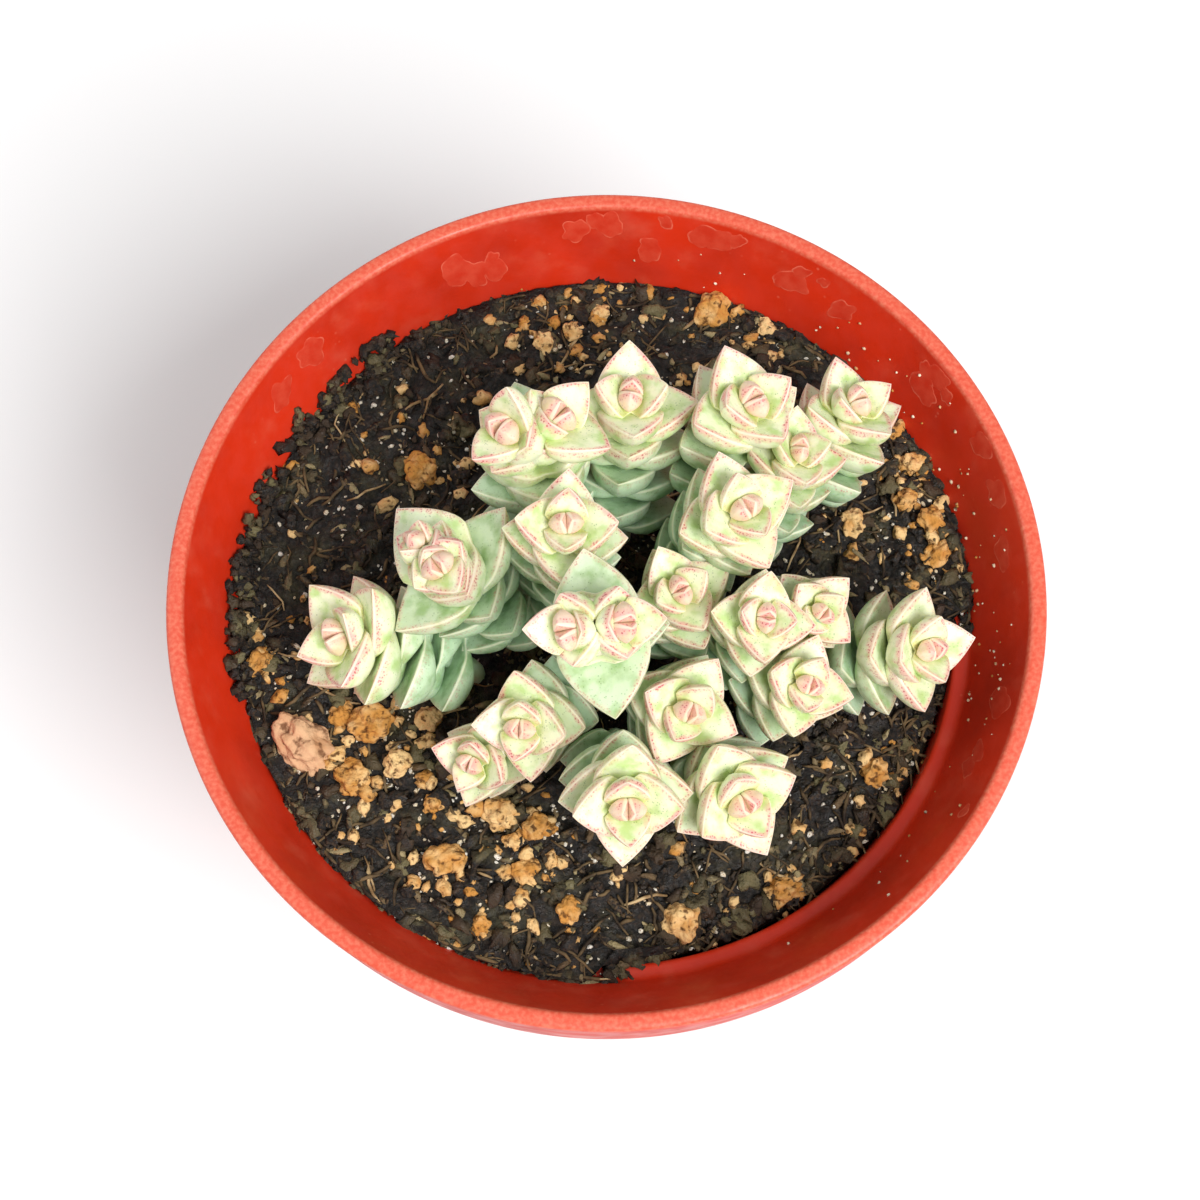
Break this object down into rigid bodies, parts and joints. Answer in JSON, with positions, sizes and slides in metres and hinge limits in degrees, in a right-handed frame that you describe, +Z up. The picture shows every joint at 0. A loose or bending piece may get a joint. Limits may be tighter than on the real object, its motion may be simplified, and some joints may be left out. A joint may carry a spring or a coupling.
{
  "type": "potted crassula",
  "caption": "Small succulent clump of short stems stacked with keeled, pointed leaf pairs, growing from gritty soil in a round plastic pot with a skirted rim.",
  "frame": {"origin": "bottom centre of the pot's foot, on the surface it stands on", "axes": "+Z up along the pot's axis; +Y away from the camera of the picture; +X to its right"},
  "size_m": [0.1, 0.1, 0.1021],
  "materials": {
    "pot": "satin moulded polypropylene, orange-red, with dried water marks inside the rim",
    "soil": "damp potting compost, near black, with tan pumice grit, rough and matt",
    "leaf": "waxy pale green leaf with pink margins and dotted edges, soft sheen"
  },
  "bodies": {
    "root": {"pot": "pot", "soil": "soil", "stem_01": "leaf", "stem_02": "leaf", "stem_03": "leaf", "stem_04": "leaf", "stem_05": "leaf", "stem_06": "leaf", "stem_07": "leaf", "stem_08": "leaf", "stem_09": "leaf", "stem_10": "leaf", "stem_11": "leaf", "stem_12": "leaf", "stem_13": "leaf", "stem_14": "leaf", "stem_15": "leaf", "stem_16": "leaf", "stem_17": "leaf", "stem_18": "leaf", "stem_19": "leaf", "stem_20": "leaf"}
  },
  "joints": []
}
